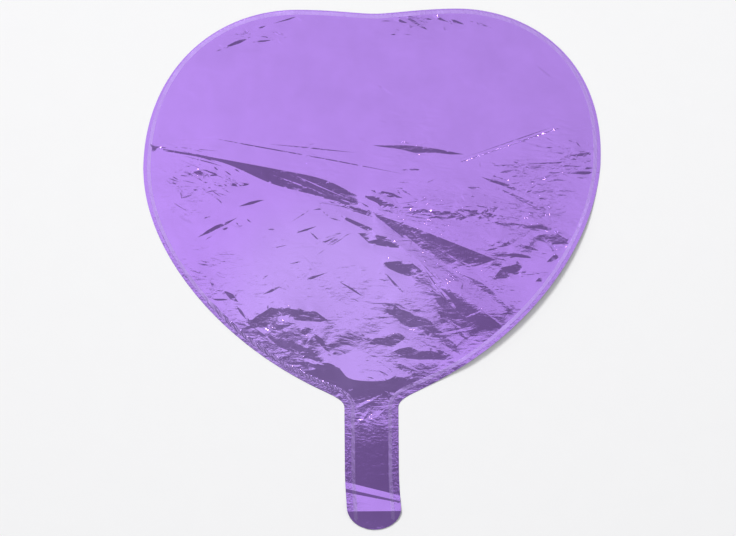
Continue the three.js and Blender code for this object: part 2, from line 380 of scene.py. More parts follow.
class CreasedSheet:
    """A flat sheet cut to an outline, with creases that hold their height while the rest settles."""

    def __init__(self, outline, edge_z, weld, step, seed):
        self.step = step
        self.random = random.Random(seed)
        self.points = []
        self.edges = []
        self.height = {}
        self.tip = {}
        self.net = {}
        self.steep = set()
        self.outline = outline
        self.near_weld = weld
        edge_z = np.broadcast_to(edge_z, len(outline))
        self.add_line([(x, y, z) for (x, y), z in zip(outline, edge_z)], closed=True)

    def add_line(self, line, closed=False, layer=None):
        """Add a crease of x, y and a height: above the table, or in the layer that is named."""
        layer = self.height if layer is None else layer
        first = len(self.points)
        for index, point in enumerate(line):
            self.points.append((point[0], point[1]))
            layer[first + index] = point[2]
        last = len(self.points) - 1
        self.edges += [(index, index + 1) for index in range(first, last)]
        if closed:
            self.edges.append((last, first))

    def keep_clear(self, line, weld_clear):
        """Return the points of a line that lie inside the weld and clear of it."""
        inside = points_inside(np.array(line)[:, :2], self.outline)
        return [point for point, kept in zip(line, inside)
                if kept and self.near_weld.distance(point[0], point[1]) > weld_clear]

    def add_fold(self, points, rim_z, weld_clear):
        """Add a main fold, brought down to the rim where it nears the weld."""
        line = []
        for x, y, z in self.keep_clear(bend_through(points, self.step), weld_clear):
            gap = self.near_weld.distance(x, y)
            line.append((x, y, mix(rim_z, z, smooth_share(gap, weld_clear - 2, weld_clear + 6))))
        if len(line) > 1:
            self.add_line(line)

    def add_facet(self, x, y, length, width, turn, slope, weld_clear):
        """Add a long tipped facet with ragged straight sides, higher on its upper side.

        A slope below nothing turns it over, so that its upper side is the lower one.
        """
        along, across = directions(turn)
        corners = 1 if width < 2.6 else min(2 + int(length / 14), 5)
        for side in (1, -1):
            line = [(-length / 2, 0.0)]
            for corner in range(corners):
                place = (corner + 0.5 + self.random.uniform(-0.3, 0.3)) / corners - 0.5
                reach = (1.0 - abs(2 * place) ** 2.6) * self.random.uniform(0.3, 1.25)
                line.append((place * length, side * reach * width / 2))
            line.append((length / 2, 0.0))
            line = [(*(np.array([x, y]) + along * far + across * off), slope * off) for far, off in line]
            line = self.keep_clear(spread_points(line, min(self.step, width)), weld_clear)
            if len(line) > 2:
                self.add_line(line, layer=self.tip)

    def add_groove(self, x, y, length, width, turn, slope, weld_clear):
        """Add a straight crease with one steep, even side."""
        along, across = directions(turn)
        for off in (width / 2, -width / 2):
            spots = [np.array([x, y]) + along * far + across * off for far in (-length / 2, length / 2)]
            line = spread_points([(*spot, slope * off) for spot in spots], width)
            line = self.keep_clear(line, weld_clear)
            self.steep.update(range(len(self.points), len(self.points) + len(line)))
            self.add_line(line, layer=self.tip)

    def add_net(self, long_step, cross_step, turn, swing, weld_clear):
        """Add a net of faint creases round long flat facets, each corner a little up or down."""
        along, across = directions(turn)
        reach = int(HALF_LENGTH * 1.2 / cross_step)
        corners = []
        for row in range(-reach, reach + 1):
            for column in range(-reach, reach + 1):
                spot = along * (column + 0.5 * (row % 2)) * long_step + across * row * cross_step
                jog = (self.random.uniform(-0.38, 0.38), self.random.uniform(-0.38, 0.38))
                corners.append(spot + along * jog[0] * long_step + across * jog[1] * cross_step)
        inside = points_inside(np.array(corners), self.outline)
        corners = [spot for spot, kept in zip(corners, inside) if kept]
        corners = [spot for spot in corners if self.near_weld.distance(*spot) > weld_clear]
        heights = [self.random.uniform(-1.0, 1.0) * swing(*spot) for spot in corners]
        spots = [Vector(spot) for spot in corners]
        _, pairs, _, _, _, _ = geometry.delaunay_2d_cdt(spots, [], [], 0, 1e-4, True)
        for start, end in pairs:
            if (spots[start] - spots[end]).length > 2.2 * long_step:
                continue
            ends = [(*corners[start], heights[start]), (*corners[end], heights[end])]
            self.add_line(self.keep_clear(spread_points(ends, self.step), weld_clear), layer=self.net)

    def mesh_points(self):
        """Return the creases' points and a fine even net of points between them."""
        outline = self.outline
        edge_gap = NearLine(self.points)
        low, high = outline.min(axis=0), outline.max(axis=0)
        row_step = self.step * math.sqrt(3) / 2
        rows = int((high[1] - low[1]) / row_step)
        filled = []
        for row in range(rows + 1):
            y = low[1] + row * row_step
            shift = 0.5 * (row % 2)
            for column in range(int((high[0] - low[0]) / self.step) + 1):
                x = low[0] + (column + shift) * self.step
                x += self.random.uniform(-0.12, 0.12) * self.step
                filled.append((x, y + self.random.uniform(-0.12, 0.12) * self.step))
        inside = points_inside(np.array(filled), outline)
        clear = 0.62 * self.step
        return self.points + [
            spot for spot, kept in zip(filled, inside) if kept and edge_gap.distance(*spot) > clear]

    def build(self, tilts=()):
        """Return the settled sheet as a bmesh in millimetres, before it is lifted or waved."""
        spots = [Vector(point) for point in self.mesh_points()]
        verts, _, faces, sources, _, _ = geometry.delaunay_2d_cdt(spots, self.edges, [], 0, 1e-4, True)
        flat = np.array([(vert.x, vert.y) for vert in verts])
        faces = np.array([tuple(face) for face in faces])
        faces = faces[points_inside(flat[faces].mean(axis=1), self.outline)]
        sides = np.sort(np.vstack([faces[:, [0, 1]], faces[:, [1, 2]], faces[:, [2, 0]]]), axis=1)
        pairs = np.unique(sides, axis=0)
        held = self.held_points(sources, self.height)
        tipped = dict.fromkeys(held, 0.0) | self.held_points(sources, self.tip)
        netted = self.held_points(sources, self.net)
        rim = set(range(len(self.outline)))
        netted.update({index: 0.0 for index, source in enumerate(sources) if rim & set(source)})
        height = settle(flat, pairs, held, 0.0) + settle(flat, pairs, tipped, SETTLE_PULL)
        height += settle(flat, pairs, netted, 0.0)
        for index, (x, y) in enumerate(flat):
            tilt = sum(tilt_height(x, y, *place) for place in tilts)
            if tilt:
                height[index] += tilt * smooth_share(self.near_weld.distance(x, y), 3.0, 24.0)
        steep = np.array([bool(self.steep & set(source)) for source in sources])
        ease_slopes(flat, faces, height, steep)
        sheet = bmesh.new()
        corners = {}
        for index in np.unique(faces):
            corners[index] = sheet.verts.new((*flat[index], height[index]))
        for face in faces:
            sheet.faces.new([corners[index] for index in face])
        sheet.normal_update()
        face_up(sheet)
        return sheet

    def held_points(self, sources, layer):
        """Return the height that each mesh point gets from a layer's creases."""
        found = {}
        for index, source in enumerate(sources):
            heights = [layer[item] for item in source if item in layer]
            if heights:
                found[index] = sum(heights) / len(heights)
        return found


def face_up(shell):
    """Turn a sheet over if most of it faces down."""
    if sum(face.normal.z for face in shell.faces) < 0:
        bmesh.ops.reverse_faces(shell, faces=shell.faces)


def ease_slopes(flat, faces, height, steep):
    """Flatten the faces that tip too far, most where the film would face the notch.

    Points that may be steep keep their height.
    """
    first, second, third = (flat[faces[:, corner]] for corner in range(3))
    side_x, side_y = (second - first).T
    far_x, far_y = (third - first).T
    span = side_x * far_y - side_y * far_x
    span = np.where(np.abs(span) < 1e-4, 1e-4, span)
    most_to_tail = MOST_TO_TAIL + 0.001 * np.maximum(first[:, 1], 0.0)
    for _ in range(EASE_ROUNDS):
        levels = height[faces]
        side, far = levels[:, 1] - levels[:, 0], levels[:, 2] - levels[:, 0]
        slope_x = (side * far_y - far * side_y) / span
        slope_y = (far * side_x - side * far_x) / span
        limit = np.where(slope_y < 0.0, MOST_TO_NOTCH, most_to_tail)
        over = np.maximum(np.abs(slope_y) / limit, np.abs(slope_x) / MOST_SIDEWAYS)
        share = np.where(over > 1.0, 1.0 - 1.0 / np.maximum(over, 1.0), 0.0)
        moves = share[:, None] * (levels.mean(axis=1, keepdims=True) - levels)
        moved = np.bincount(faces.ravel(), moves.ravel(), len(flat))
        count = np.bincount(faces.ravel(), np.repeat(over > 1.0, 3), len(flat))
        height += np.where(steep, 0.0, moved / np.maximum(count, 1.0))


def points_inside(points, outline):
    """Return which points lie inside a ring."""
    inside = np.zeros(len(points), bool)
    before = np.roll(outline, 1, axis=0)
    for (x1, y1), (x2, y2) in zip(before, outline):
        if y1 == y2:
            continue
        crosses = (points[:, 1] < y1) != (points[:, 1] < y2)
        reach = x1 + (points[:, 1] - y1) * (x2 - x1) / (y2 - y1)
        inside ^= crosses & (points[:, 0] < reach)
    return inside


def settle(flat, pairs, held, pull):
    """Return heights where every free point rests between its neighbours.

    Held points keep their height, and pull draws the free ones back to zero.
    """
    count = len(flat)
    start, end = pairs[:, 0], pairs[:, 1]
    weight = 1.0 / np.maximum(np.linalg.norm(flat[start] - flat[end], axis=1), 0.3)
    total = np.bincount(start, weight, count) + np.bincount(end, weight, count) + pull
    fixed = total <= pull
    fixed[list(held)] = True
    height = np.zeros(count)
    height[list(held)] = list(held.values())

    def spread(values):
        around = np.bincount(start, weight * values[end], count)
        around += np.bincount(end, weight * values[start], count)
        return around

    scale = np.where(fixed, 0.0, 1.0 / np.maximum(total, 1e-9))
    free = np.zeros(count)
    residual = np.where(fixed, 0.0, spread(height))
    search = residual * scale
    strength = residual @ search
    for _ in range(SETTLE_ROUNDS):
        if strength < 1e-10:
            break
        applied = np.where(fixed, 0.0, total * search - spread(search))
        amount = strength / (search @ applied)
        free += amount * search
        residual -= amount * applied
        better = residual * scale
        stronger = residual @ better
        search = better + search * (stronger / strength)
        strength = stronger
    return np.where(fixed, height, free)


# ---------------------------------------------------------------- shader help

def new_material(name):
    material = bpy.data.materials.new(name)
    material.use_nodes = True
    tree = material.node_tree
    tree.nodes.clear()
    output = tree.nodes.new("ShaderNodeOutputMaterial")
    shader = tree.nodes.new("ShaderNodeBsdfPrincipled")
    tree.links.new(shader.outputs["BSDF"], output.inputs["Surface"])
    return material, tree, shader


def node(tree, kind, **settings):
    """Add a node and set its values: inputs by their name, its own settings by theirs."""
    made = tree.nodes.new(kind)
    for key, value in settings.items():
        if key in made.inputs:
            made.inputs[key].default_value = value
        else:
            setattr(made, key, value)
    return made


def ramp(tree, source, stops):
    """Add a colour ramp over a value. Stops are (place, colour or level)."""
    made = tree.nodes.new("ShaderNodeValToRGB")
    tree.links.new(source, made.inputs["Fac"])
    while len(made.color_ramp.elements) < len(stops):
        made.color_ramp.elements.new(1.0)
    for element, (place, tone) in zip(made.color_ramp.elements, stops):
        element.position = place
        element.color = (*tone, 1.0) if isinstance(tone, tuple) else (tone, tone, tone, 1.0)
    return made.outputs["Color"]


def darker(color, share):
    return tuple(part * share for part in color)


def blend_colors(tree, share, first, second):
    made = node(tree, "ShaderNodeMix", data_type="RGBA")
    link_or_set(tree, made.inputs[0], share)
    link_or_set(tree, made.inputs[6], first)
    link_or_set(tree, made.inputs[7], second)
    return made.outputs[2]


def blend_values(tree, share, first, second):
    made = node(tree, "ShaderNodeMix", data_type="FLOAT")
    link_or_set(tree, made.inputs[0], share)
    link_or_set(tree, made.inputs[2], first)
    link_or_set(tree, made.inputs[3], second)
    return made.outputs[0]


def map_range(tree, value, low, high, at_low, at_high):
    made = node(tree, "ShaderNodeMapRange")
    tree.links.new(value, made.inputs["Value"])
    for socket, number in (("From Min", low), ("From Max", high), ("To Min", at_low), ("To Max", at_high)):
        made.inputs[socket].default_value = number
    return made.outputs["Result"]


def work_out(tree, operation, first, second=0.0):
    made = node(tree, "ShaderNodeMath", operation=operation)
    link_or_set(tree, made.inputs[0], first)
    link_or_set(tree, made.inputs[1], second)
    return made.outputs[0]


def multiply(tree, first, second):
    return work_out(tree, "MULTIPLY", first, second)


def link_or_set(tree, socket, value):
    if isinstance(value, bpy.types.NodeSocket):
        tree.links.new(value, socket)
    elif isinstance(value, tuple):
        socket.default_value = (*value, 1.0)
    else:
        socket.default_value = value


def object_pattern(tree, kind, turn=0.0, stretch=(1.0, 1.0, 1.0), **settings):
    """Add a texture in the piece's own metres, turned by some degrees and drawn out by stretch."""
    turned = (0.0, 0.0, math.radians(-turn))
    mapping = node(tree, "ShaderNodeMapping", Rotation=turned, Scale=stretch)
    tree.links.new(node(tree, "ShaderNodeTexCoord").outputs["Object"], mapping.inputs["Vector"])
    made = node(tree, kind, **settings)
    tree.links.new(mapping.outputs["Vector"], made.inputs["Vector"])
    return made


def object_noise(tree, scale, detail=2.0, rough=0.5, stretch=(1.0, 1.0, 1.0)):
    """Add noise that is drawn out along an axis by stretch."""
    made = object_pattern(tree, "ShaderNodeTexNoise", stretch=stretch,
                          Scale=scale, Detail=detail, Roughness=rough)
    return made.outputs["Fac"]


def add_bump(tree, shader, height, distance, before=None):
    made = node(tree, "ShaderNodeBump", Strength=1.0, Distance=distance)
    tree.links.new(height, made.inputs["Height"])
    if before is not None:
        tree.links.new(before, made.inputs["Normal"])
    tree.links.new(made.outputs["Normal"], shader.inputs["Normal"])
    return made.outputs["Normal"]


def crease_noise(tree, scale, turn, stretch, detail):
    """Add noise with sharp creases, drawn out along a direction."""
    made = object_pattern(tree, "ShaderNodeTexNoise", turn, (1.0, stretch, 1.0),
                          Scale=scale, Detail=detail, Roughness=0.55, Distortion=0.4)
    return work_out(tree, "ABSOLUTE", work_out(tree, "SUBTRACT", made.outputs["Fac"], 0.5))


def pucker_bands(tree):
    """Add the slanting puckers that a weld draws the film into."""
    bands = object_pattern(tree, "ShaderNodeTexWave", 25.0, Scale=72.0, Distortion=2.5, Detail=1.0)
    bands.inputs["Detail Scale"].default_value = 2.0
    return bands.outputs["Fac"]


def attribute_value(tree, name):
    return node(tree, "ShaderNodeAttribute", attribute_name=name).outputs["Fac"]


def foil_material(name, color):
    """Tinted metallised film: mirror bright, with a frosted band along the weld and a painted sheen that
    pales the tint over the lower left.
    """
    colors = bpy.context.scene.foil_sheets
    material, tree, shader = new_material(name)
    shader.inputs["Metallic"].default_value = 1.0

    offset = attribute_value(tree, "weld_offset")
    worn = object_noise(tree, 60.0, 4.0, 0.6)
    band = ramp(tree, offset, [(0.0, 1.0), (0.16, 0.85), (0.22, 0.0)])
    band = multiply(tree, band, ramp(tree, worn, [(0.3, 0.55), (0.6, 1.0)]))
    fibre = object_noise(tree, 900.0, 3.0, 0.6)
    patches = object_noise(tree, 26.0, 4.0, 0.55)

    tone = blend_colors(tree, ramp(tree, patches, [(0.35, 0.0), (0.7, 1.0)]), darker(color, 0.93), color)
    # Painted sheen: a paler, less saturated tint blended in over the lower left stands in for the white
    # sheen the film reflects there.
    painted_sheen = (color[0] * 1.05, color[1] * 1.2, color[2])
    tone = blend_colors(tree, attribute_value(tree, "painted_sheen"), tone, painted_sheen)
    weld = tuple(colors.weld_color)
    shade = blend_colors(tree, ramp(tree, fibre, [(0.3, 0.0), (0.7, 1.0)]), darker(weld, 0.84), weld)
    tree.links.new(blend_colors(tree, band, tone, shade), shader.inputs["Base Color"])

    satin = blend_values(tree, patches, colors.foil_roughness * 0.7, colors.foil_roughness * 1.3)
    tree.links.new(blend_values(tree, band, satin, 0.36), shader.inputs["Roughness"])

    crinkle = attribute_value(tree, "crinkle")
    wide = crease_noise(tree, 34.0, -14.0, 2.4, 2.0)
    level = crease_noise(tree, 150.0, -16.0, 2.2, 4.0)
    slanting = crease_noise(tree, 120.0, -46.0, 3.0, 4.0)
    fine = blend_values(tree, attribute_value(tree, "slant"), level, slanting)
    slack = add_bump(tree, shader, multiply(tree, wide, crinkle), colors.crinkle_depth * MM * 3.0)
    creased = add_bump(tree, shader, multiply(tree, fine, crinkle), colors.crinkle_depth * MM, slack)
    puckers = multiply(tree, multiply(tree, pucker_bands(tree), attribute_value(tree, "pucker")), band)
    ruffles = multiply(tree, crease_noise(tree, 210.0, 40.0, 1.6, 2.0), attribute_value(tree, "flange"))
    drawn = add_bump(tree, shader, puckers, PUCKER_DEPTH * MM, creased)
    add_bump(tree, shader, ruffles, RUFFLE_DEPTH * MM, drawn)
    return material


def weld_material():
    """The fused strip between the sheets: dull, with the weld bar's fine ribs."""
    material, tree, shader = new_material("weld_satin")
    shader.inputs["Metallic"].default_value = 0.8
    shader.inputs["Roughness"].default_value = 0.45
    weld = tuple(bpy.context.scene.foil_sheets.weld_color)
    grain = object_noise(tree, 700.0, 3.0, 0.6)
    tone = blend_colors(tree, grain, darker(weld, 0.7), weld)
    tree.links.new(tone, shader.inputs["Base Color"])
    ribs = object_noise(tree, 1400.0, 1.0, 0.4)
    add_bump(tree, shader, ribs, 0.00003)
    return material


def clear_film_material(name, color, roughness):
    """Unprinted clear film: slightly milky, with long drawing marks."""
    material, tree, shader = new_material(name)
    shader.inputs["Transmission Weight"].default_value = 0.75
    shader.inputs["IOR"].default_value = 1.5
    streaks = object_noise(tree, 300.0, 2.0, 0.5, (1.0, 0.06, 1.0))
    tone = blend_colors(tree, streaks, darker(color, 0.9), color)
    tree.links.new(tone, shader.inputs["Base Color"])
    rough = blend_values(tree, streaks, roughness * 0.7, roughness * 1.3)
    tree.links.new(rough, shader.inputs["Roughness"])
    add_bump(tree, shader, streaks, 0.00002)
    return material


def ink_material():
    """Heat-resistant ink: matt blue, with the dots of a coarse screen print."""
    material, tree, shader = new_material("release_ink_matt")
    dots = object_pattern(tree, "ShaderNodeTexVoronoi", Scale=900.0, Randomness=0.15)
    share = ramp(tree, dots.outputs["Distance"], [(0.35, 1.0), (0.6, 0.0)])
    tone = blend_colors(tree, share, (0.2, 0.4, 0.66), (0.09, 0.25, 0.5))
    tree.links.new(tone, shader.inputs["Base Color"])
    shader.inputs["Roughness"].default_value = 0.6
    add_bump(tree, shader, share, 0.00001)
    return material


# ---------------------------------------------------------------- pieces

def make_object(name, shell, material):
    """Turn a bmesh into an object at the origin."""
    mesh = bpy.data.meshes.new(name)
    shell.to_mesh(mesh)
    shell.free()
    mesh.materials.append(material)
    made = bpy.data.objects.new(name, mesh)
    bpy.context.collection.objects.link(made)
    return made


def finish_piece(name, shell, material):
    """Turn a bmesh in millimetres into a smooth piece in metres."""
    bmesh.ops.scale(shell, vec=(MM, MM, MM), verts=shell.verts)
    piece = make_object(name, shell, material)
    piece.data.shade_smooth()
    return piece


def give_thickness(piece, thickness, offset):
    wall = piece.modifiers.new("film", "SOLIDIFY")
    wall.thickness = thickness * MM
    wall.offset = offset
    wall.use_even_offset = False


def bend_at_neck(piece):
    """Lean a piece over, and bake its transform into its mesh."""
    lean_over(piece)
    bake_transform(piece)


def note_weld_distance(piece):
    """Store how far each point lies from the weld's middle, in centimetres, and its ruffle outside."""
    middle = weld_line(0.5)
    near = NearLine(middle)
    spots = np.array([vert.co.xy for vert in piece.data.vertices]) / MM
    note_values(piece, "weld_offset", [near.distance(x, y) / 10.0 for x, y in spots])
    low_share = [1.0 - smooth_share(y, 20.0, 120.0) for _, y in spots]
    note_values(piece, "flange", np.where(points_inside(spots, middle), 0.0, low_share))


def note_values(piece, name, values):
    attribute = piece.data.attributes.new(name, "FLOAT", "POINT")
    attribute.data.foreach_set("value", values)


def sharpen_rim(piece):
    """Keep the shading of a sheet's face apart from its cut edge's."""
    shell = bmesh.new()
    shell.from_mesh(piece.data)
    for edge in shell.edges:
        if edge.is_boundary:
            edge.smooth = False
    shell.to_mesh(piece.data)
    shell.free()


def note_crinkles(piece):
    """Store at each point how crinkled the film is, how strongly the painted sheen pales it, and how
    puckered its weld.

    Slant is the share of crinkles that lie steeply, as on the right flank.
    """
    crinkle, pucker, painted_sheen, slant = [], [], [], []
    for vert in piece.data.vertices:
        x, y = vert.co.x / MM, vert.co.y / MM
        spots = [strength * (1.0 - smooth_share(math.hypot(x - spot_x, y - spot_y), 0.0, reach))
                 for spot_x, spot_y, reach, strength in CRINKLED_SPOTS]
        crinkle.append(max(0.12, *spots))
        low_left = smooth_share(-x, -5.0, 40.0) * (1.0 - smooth_share(y, -45.0, -20.0))
        pucker.append(max(low_left * smooth_share(y, -140.0, -125.0), 0.1))
        # Share of the painted sheen: full round the lower left, fading out further away.
        painted_sheen.append(1.0 - smooth_share(math.hypot(x + 40.0, y + 50.0), 60.0, 150.0))
        slant.append(1.0 - smooth_share(math.hypot(x - 80.0, y + 20.0), 55.0, 90.0))
    for name, values in (("crinkle", crinkle), ("pucker", pucker), ("painted_sheen", painted_sheen), ("slant", slant)):
        note_values(piece, name, values)


def film_area():
    edge = balloon_edge(2.0)
    ahead = np.roll(edge, -1, axis=0)
    return float(np.sum(edge[:, 0] * ahead[:, 1] - ahead[:, 0] * edge[:, 1]) / 2) * MM * MM


# Size of the wide light, in metres, and where the small lamp hangs, seen from the balloon.
SOFTBOX_WIDTH = 2.6
SOFTBOX_LENGTH = 1.7
KEY_DIRECTION = (-0.4, 1.05, 0.84)


class FoilSheets(bpy.types.PropertyGroup):
    foil_color: bpy.props.FloatVectorProperty(
        name="Foil colour", description="Tint of the metallised film",
        default=(0.475, 0.262, 0.85), size=3, subtype="COLOR", min=0.0, max=1.0)
    weld_color: bpy.props.FloatVectorProperty(
        name="Weld colour", description="Tint of the frosted band where the sheets are fused",
        default=(0.54, 0.355, 0.88), size=3, subtype="COLOR", min=0.0, max=1.0)
    foil_roughness: bpy.props.FloatProperty(
        name="Foil roughness", description="How dull the film's mirror is",
        default=0.11, min=0.02, max=0.6)
    film_thickness: bpy.props.FloatProperty(
        name="Film thickness", description="Thickness of each film, in millimetres",
        default=0.05, min=0.03, max=0.3)
    mesh_step: bpy.props.FloatProperty(
        name="Mesh step", description="Distance between the film's points, in millimetres",
        default=2.2, min=1.8, max=6.0)
    weld_inset_lobes: bpy.props.FloatProperty(
        name="Weld inset, lobes", description="Weld's middle to the cut edge at the lobes, in millimetres",
        default=3.0, min=2.0, max=8.0)
    weld_inset_sides: bpy.props.FloatProperty(
        name="Weld inset, sides", description="Weld's middle to the cut edge on the flanks, in millimetres",
        default=5.5, min=2.0, max=8.0)
    weld_width: bpy.props.FloatProperty(
        name="Weld width", description="Width of the frosted weld, in millimetres",
        default=4.0, min=1.0, max=8.0)
    crinkle_depth: bpy.props.FloatProperty(
        name="Crinkle depth", description="Depth of the film's finest crinkles, in millimetres",
        default=0.7, min=0.0, max=2.0)
    edge_lift: bpy.props.FloatProperty(
        name="Edge lift", description="How high the lower right edge stands, in millimetres",
        default=5.0, min=0.0, max=8.0)


class FoldSettings(bpy.types.PropertyGroup):
    fold_height: bpy.props.FloatProperty(
        name="Fold height", description="Height of the main folds, as a share of their usual height",
        default=1.0, min=0.0, max=1.3)
    facet_slope: bpy.props.FloatProperty(
        name="Facet slope", description="How steeply the shaded facets tip in the middle of the heart",
        default=0.24, min=0.0, max=0.6)
    bright_slope: bpy.props.FloatProperty(
        name="Bright slope", description="How steeply the bright facets tip",
        default=0.5, min=0.0, max=1.0)
    net_swing: bpy.props.FloatProperty(
        name="Net swing", description="How far the faint creases lie up or down, in millimetres",
        default=0.45, min=0.0, max=1.5)
    crumple_count: bpy.props.IntProperty(
        name="Crumples", description="Number of short creases scattered over the film",
        default=170, min=0, max=600)
    seed: bpy.props.IntProperty(
        name="Seed", description="Start of the random numbers for the short creases",
        default=7, min=0)


class StageSettings(bpy.types.PropertyGroup):
    floor_color: bpy.props.FloatVectorProperty(
        name="Floor colour", description="Colour of the pale floor",
        default=(0.86, 0.86, 0.87), size=3, subtype="COLOR", min=0.0, max=1.0)
    camera_height: bpy.props.FloatProperty(
        name="Camera height", description="Height of the camera above the floor",
        default=1.022, unit="LENGTH", min=0.3)
    softbox_height: bpy.props.FloatProperty(
        name="Softbox height", description="Height of the wide light above the floor",
        default=1.5, unit="LENGTH", min=1.2)
    softbox_near_side: bpy.props.FloatProperty(
        name="Softbox near side", description="Where the wide light's side by the tail hangs, along Y",
        default=-0.335, unit="LENGTH")
    softbox_fade: bpy.props.FloatProperty(
        name="Softbox fade", description="Width of the soft rim along that side",
        default=0.1, unit="LENGTH", min=0.01)
    softbox_glow: bpy.props.FloatProperty(
        name="Softbox glow", description="Brightness of the wide light's face",
        default=1.0, min=0.0)
    key_glow: bpy.props.FloatProperty(
        name="Key glow", description="Light that the small lamp sends onto a facing surface",
        default=2.62, min=0.0)
    room_glow: bpy.props.FloatProperty(
        name="Room glow", description="Brightness of the room round the lights",
        default=0.36, min=0.0)


# ---------------------------------------------------------------- operators

class BALLOON_OT_stage(bpy.types.Operator):
    """Make the floor, the lights and the camera."""
    bl_idname = "balloon.stage"
    bl_label = "Stage"

    def execute(self, context):
        stage = context.scene.stage_settings
        shell = bmesh.new()
        bmesh.ops.create_grid(shell, x_segments=1, y_segments=1, size=3.0)
        bmesh.ops.translate(shell, verts=shell.verts, vec=(0, 0, -0.1 * MM))
        material, tree, shader = new_material("pale_floor")
        grain = object_noise(tree, 40.0, 3.0, 0.5)
        pale = tuple(stage.floor_color)
        tone = blend_colors(tree, grain, darker(pale, 0.985), pale)
        tree.links.new(tone, shader.inputs["Base Color"])
        shader.inputs["Roughness"].default_value = 0.9
        make_object("floor", shell, material)

        self.add_softbox(stage)
        self.add_key(context, stage.key_glow)
        self.add_room(context, stage.room_glow)

        lens = bpy.data.cameras.new("camera")
        lens.lens = 50.0
        lens.sensor_width = 36.0
        camera = bpy.data.objects.new("camera", lens)
        camera.location = (-0.0023, 0.0015, stage.camera_height)
        camera.rotation_euler = (0.0, 0.0, math.radians(-0.45))
        context.collection.objects.link(camera)
        context.scene.camera = camera
        context.scene.view_settings.view_transform = "Standard"
        return {"FINISHED"}

    def add_room(self, context, glow):
        """Light the scene from all round: brighter on the left and lower down."""
        world = bpy.data.worlds.new("room")
        context.scene.world = world
        world.use_nodes = True
        tree = world.node_tree
        direction = node(tree, "ShaderNodeTexCoord").outputs["Generated"]
        parts = node(tree, "ShaderNodeSeparateXYZ")
        tree.links.new(direction, parts.inputs[0])
        across = map_range(tree, parts.outputs["X"], -0.6, 0.6, 1.12, 0.88)
        upward = map_range(tree, parts.outputs["Z"], 0.45, 0.98, 1.15, 0.85)
        background = tree.nodes["Background"]
        background.inputs["Color"].default_value = (1.0, 1.0, 1.0, 1.0)
        tree.links.new(multiply(tree, multiply(tree, across, upward), glow), background.inputs["Strength"])

    def add_softbox(self, stage):
        """Hang the wide light over the balloon: its side by the tail fades out."""
        shell = bmesh.new()
        bmesh.ops.create_grid(shell, x_segments=1, y_segments=1, size=0.5)
        bmesh.ops.scale(shell, vec=(SOFTBOX_WIDTH, SOFTBOX_LENGTH, 1.0), verts=shell.verts)
        middle_y = stage.softbox_near_side + SOFTBOX_LENGTH / 2
        bmesh.ops.translate(shell, vec=(0.0, middle_y, stage.softbox_height), verts=shell.verts)

        material = bpy.data.materials.new("softbox_cloth")
        material.use_nodes = True
        tree = material.node_tree
        tree.nodes.clear()
        parts = node(tree, "ShaderNodeSeparateXYZ")
        tree.links.new(node(tree, "ShaderNodeTexCoord").outputs["Object"], parts.inputs[0])
        near = stage.softbox_near_side
        fade = map_range(tree, parts.outputs["Y"], near, near + stage.softbox_fade, 0.45, 1.0)
        across = map_range(tree, parts.outputs["X"], -0.7, 0.8, 1.05, 0.86)
        back = map_range(tree, parts.outputs["Y"], -0.1, 0.9, 1.1, 0.97)
        glow = multiply(tree, multiply(tree, fade, across), back)
        emission = node(tree, "ShaderNodeEmission")
        tree.links.new(multiply(tree, glow, stage.softbox_glow), emission.inputs["Strength"])
        output = tree.nodes.new("ShaderNodeOutputMaterial")
        tree.links.new(emission.outputs[0], output.inputs["Surface"])

        softbox = make_object("softbox", shell, material)
        softbox.visible_camera = False
        softbox.visible_shadow = False

    def add_key(self, context, glow):
        """Add the small strong light, from beyond the left lobe."""
        light = bpy.data.lights.new("key", "SUN")
        light.angle = math.radians(16.0)
        light.energy = glow
        lamp = bpy.data.objects.new("key", light)
        lamp.rotation_euler = Vector(KEY_DIRECTION).to_track_quat("Z", "Y").to_euler()
        context.collection.objects.link(lamp)


